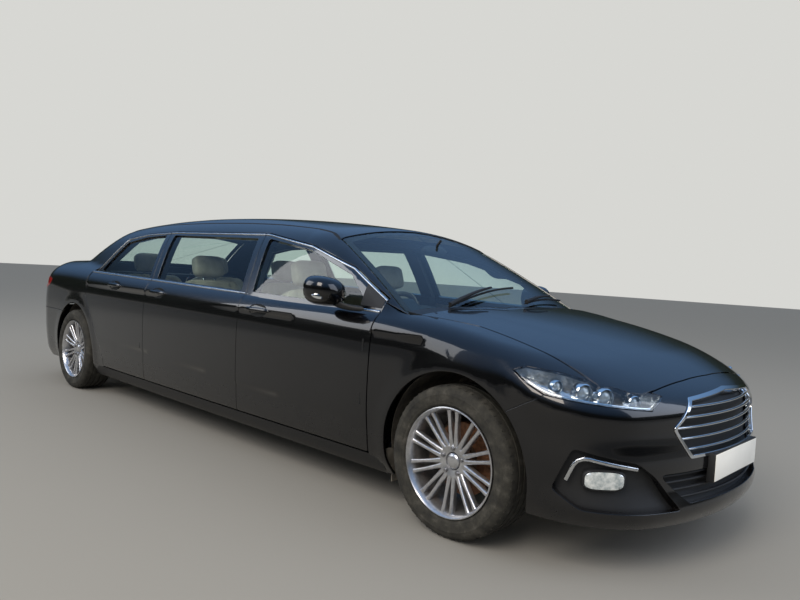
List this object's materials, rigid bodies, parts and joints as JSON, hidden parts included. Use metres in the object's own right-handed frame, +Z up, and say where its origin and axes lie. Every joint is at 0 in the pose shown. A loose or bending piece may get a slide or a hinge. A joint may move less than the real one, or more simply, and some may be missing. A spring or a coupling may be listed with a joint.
{
  "type": "six-door limousine",
  "caption": "Long saloon limousine with opening doors, bonnet and boot lid, steered front wheels and turning road wheels.",
  "frame": {"origin": "on the ground under the middle of the car", "axes": "+X forwards, +Y to the car's left, +Z up"},
  "size_m": [6.0944, 2.14, 1.4821],
  "materials": {
    "black_paint": "gloss",
    "dark_trim": "matte",
    "glass": "gloss",
    "chrome": "gloss",
    "lamp_lens": "gloss",
    "red_lens": "gloss",
    "alloy": "satin",
    "tyre": "matte",
    "steel": "matte",
    "cast_iron": "matte",
    "leather": "satin",
    "trim": "matte",
    "inner_steel": "satin"
  },
  "bodies": {
    "body": {"front_wings": "black_paint", "cowl": "black_paint", "front_bumper": "black_paint", "front_lamps": "lamp_lens", "grille": "chrome", "rear_quarters": "black_paint", "rear_bumper": "black_paint", "tail_lamps": "red_lens", "roof": "black_paint", "screens": "glass", "sills": "inner_steel", "cant_rails": "inner_steel", "door_posts": "inner_steel", "floor_pan": "inner_steel", "parcel_shelf": "dark_trim", "wheel_liners": "dark_trim", "mud_flaps": "dark_trim", "front_frame": "steel", "rear_frame": "steel", "engine": "cast_iron", "exhaust": "steel", "fuel_tank": "steel", "dashboard": "trim", "front_seats": "leather", "middle_seats": "leather", "rear_seats": "leather"},
    "bonnet": {"bonnet": "black_paint"},
    "boot_lid": {"boot_lid": "black_paint"},
    "steering_wheel": {"steering_wheel": "trim"},
    "front_door_left": {"front_door_left": "black_paint", "front_window_left": "glass", "door_mirror_left": "black_paint"},
    "front_door_right": {"front_door_right": "black_paint", "front_window_right": "glass", "door_mirror_right": "black_paint"},
    "middle_door_left": {"middle_door_left": "black_paint", "middle_window_left": "glass"},
    "middle_door_right": {"middle_door_right": "black_paint", "middle_window_right": "glass"},
    "rear_door_left": {"rear_door_left": "black_paint", "rear_window_left": "glass"},
    "rear_door_right": {"rear_door_right": "black_paint", "rear_window_right": "glass"},
    "knuckle_left": {"knuckle_left": "cast_iron"},
    "knuckle_right": {"knuckle_right": "cast_iron"},
    "wheel_front_left": {"wheel_front_left": "alloy", "tyre_front_left": "tyre"},
    "wheel_front_right": {"wheel_front_right": "alloy", "tyre_front_right": "tyre"},
    "wheel_rear_left": {"wheel_rear_left": "alloy", "tyre_rear_left": "tyre"},
    "wheel_rear_right": {"wheel_rear_right": "alloy", "tyre_rear_right": "tyre"}
  },
  "joints": [
    {"name": "front_door_left_hinge", "type": "hinge", "parent": "body", "child": "front_door_left", "pos_m": [1.5805, 0.914, 0.6], "axis": [0, 0, -1], "range_deg": [0, 65]},
    {"name": "front_door_right_hinge", "type": "hinge", "parent": "body", "child": "front_door_right", "pos_m": [1.5805, -0.914, 0.6], "axis": [0, 0, 1], "range_deg": [0, 65]},
    {"name": "middle_door_left_hinge", "type": "hinge", "parent": "body", "child": "middle_door_left", "pos_m": [0.4495, 0.914, 0.6], "axis": [0, 0, -1], "range_deg": [0, 65]},
    {"name": "middle_door_right_hinge", "type": "hinge", "parent": "body", "child": "middle_door_right", "pos_m": [0.4495, -0.914, 0.6], "axis": [0, 0, 1], "range_deg": [0, 65]},
    {"name": "rear_door_left_hinge", "type": "hinge", "parent": "body", "child": "rear_door_left", "pos_m": [-0.7555, 0.914, 0.6], "axis": [0, 0, -1], "range_deg": [0, 65]},
    {"name": "rear_door_right_hinge", "type": "hinge", "parent": "body", "child": "rear_door_right", "pos_m": [-0.7555, -0.914, 0.6], "axis": [0, 0, 1], "range_deg": [0, 65]},
    {"name": "bonnet_hinge", "type": "hinge", "parent": "body", "child": "bonnet", "pos_m": [1.7375, 0, 0.905], "axis": [0, -1, 0], "range_deg": [0, 48]},
    {"name": "boot_lid_hinge", "type": "hinge", "parent": "body", "child": "boot_lid", "pos_m": [-2.5515, 0, 1.062], "axis": [0, 1, 0], "range_deg": [0, 75]},
    {"name": "steer_left", "type": "hinge", "parent": "body", "child": "knuckle_left", "pos_m": [2.1375, 0.739, 0.334], "axis": [0, 0, 1], "range_deg": [-33, 33]},
    {"name": "steer_right", "type": "hinge", "parent": "body", "child": "knuckle_right", "pos_m": [2.1375, -0.739, 0.334], "axis": [0, 0, 1], "range_deg": [-33, 33]},
    {"name": "steering_wheel_turn", "type": "hinge", "parent": "body", "child": "steering_wheel", "pos_m": [1.2325, -0.37, 0.855], "axis": [-0.9135, 0, 0.4067], "range_deg": [-460, 460]},
    {"name": "wheel_front_left_spin", "type": "hinge", "parent": "knuckle_left", "child": "wheel_front_left", "pos_m": [2.1375, 0.799, 0.334], "axis": [0, 1, 0], "continuous": true},
    {"name": "wheel_front_right_spin", "type": "hinge", "parent": "knuckle_right", "child": "wheel_front_right", "pos_m": [2.1375, -0.799, 0.334], "axis": [0, 1, 0], "continuous": true},
    {"name": "wheel_rear_left_spin", "type": "hinge", "parent": "body", "child": "wheel_rear_left", "pos_m": [-1.9925, 0.799, 0.334], "axis": [0, 1, 0], "continuous": true},
    {"name": "wheel_rear_right_spin", "type": "hinge", "parent": "body", "child": "wheel_rear_right", "pos_m": [-1.9925, -0.799, 0.334], "axis": [0, 1, 0], "continuous": true}
  ],
  "couplings": [
    {"joint": "steer_right", "follows": "steer_left", "ratio": 1},
    {"joint": "steering_wheel_turn", "follows": "steer_left", "ratio": 13.9}
  ]
}
